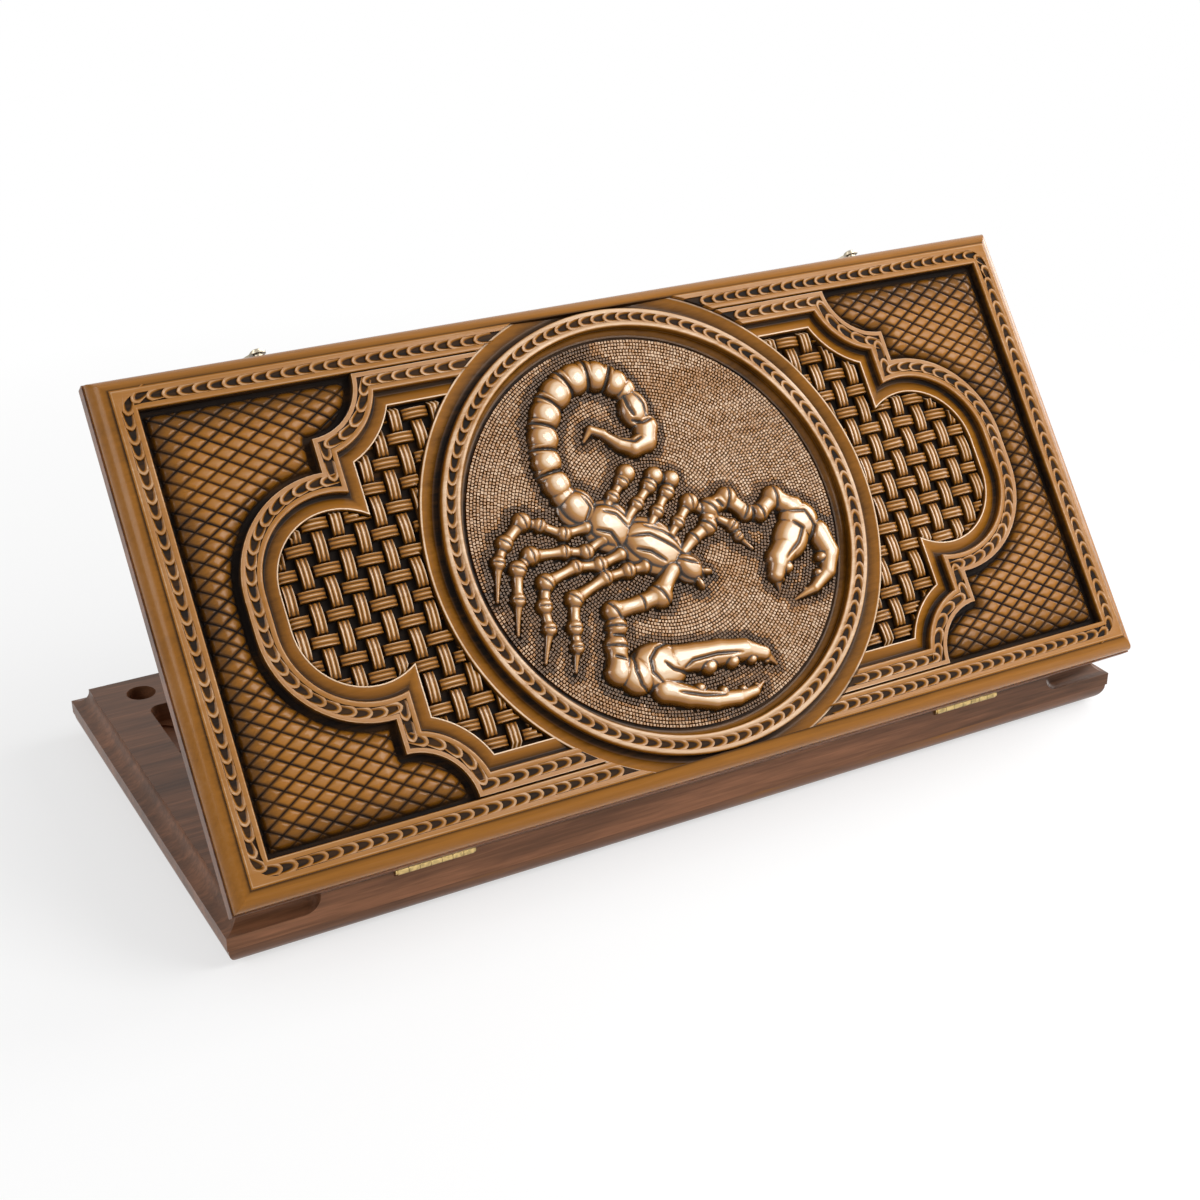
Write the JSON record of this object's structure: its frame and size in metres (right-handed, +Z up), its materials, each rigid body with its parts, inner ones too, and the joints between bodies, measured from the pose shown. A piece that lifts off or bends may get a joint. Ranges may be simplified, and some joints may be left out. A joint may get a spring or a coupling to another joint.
{
  "type": "folding backgammon board",
  "caption": "Folding backgammon board of two carved wooden leaves on brass hinges, closed by swing hooks.",
  "frame": {"origin": "centre of the lower leaf's resting face", "axes": "+X along the hinge to the viewer's right, +Y from the hinge side to the free side, +Z up"},
  "size_m": [0.6, 0.3162, 0.2752],
  "materials": {
    "stained_wood": "satin",
    "varnished_wood": "gloss",
    "relief_wood": "gloss",
    "field_wood": "satin",
    "light_inlay": "satin",
    "dark_inlay": "satin",
    "brass": "satin",
    "aged_brass": "satin"
  },
  "bodies": {
    "base": {"base_free_rail": "stained_wood", "base_hinge_rail": "stained_wood", "base_left_rail": "stained_wood", "base_right_rail": "stained_wood", "base_playing_field": "field_wood", "base_light_points": "light_inlay", "base_dark_points": "dark_inlay", "base_bottom_panel": "varnished_wood", "base_hinge_screws": "brass", "catch_studs": "aged_brass", "hinge_left_base_plate": "brass", "hinge_right_base_plate": "brass", "hinge_left_pin": "brass", "hinge_right_pin": "brass"},
    "lid": {"lid_free_rail": "stained_wood", "lid_hinge_rail": "stained_wood", "lid_left_rail": "stained_wood", "lid_right_rail": "stained_wood", "lid_playing_field": "field_wood", "lid_light_points": "light_inlay", "lid_dark_points": "dark_inlay", "lid_carved_panel": "varnished_wood", "lid_medallion_ring": "varnished_wood", "lid_medallion_ground": "varnished_wood", "lid_scorpion": "relief_wood", "lid_basket_left": "relief_wood", "lid_basket_right": "relief_wood", "lid_hinge_screws": "brass", "hinge_left_lid_plate": "brass", "hinge_right_lid_plate": "brass", "hook_pivot_screws": "aged_brass"},
    "hook_left": {"hook_left": "aged_brass"},
    "hook_right": {"hook_right": "aged_brass"}
  },
  "joints": [
    {"name": "lid_hinge", "type": "hinge", "parent": "base", "child": "lid", "pos_m": [0, -0.1457, 0.0322], "axis": [1, 0, 0], "range_deg": [-51.6, 128.4]},
    {"name": "hook_left_swing", "type": "hinge", "parent": "lid", "child": "hook_left", "pos_m": [-0.2, 0.02548, 0.27167], "axis": [0, 0.6211, 0.7837], "range_deg": [-30, 60]},
    {"name": "hook_right_swing", "type": "hinge", "parent": "lid", "child": "hook_right", "pos_m": [0.2, 0.02548, 0.27167], "axis": [0, 0.6211, 0.7837], "range_deg": [-30, 60]}
  ]
}
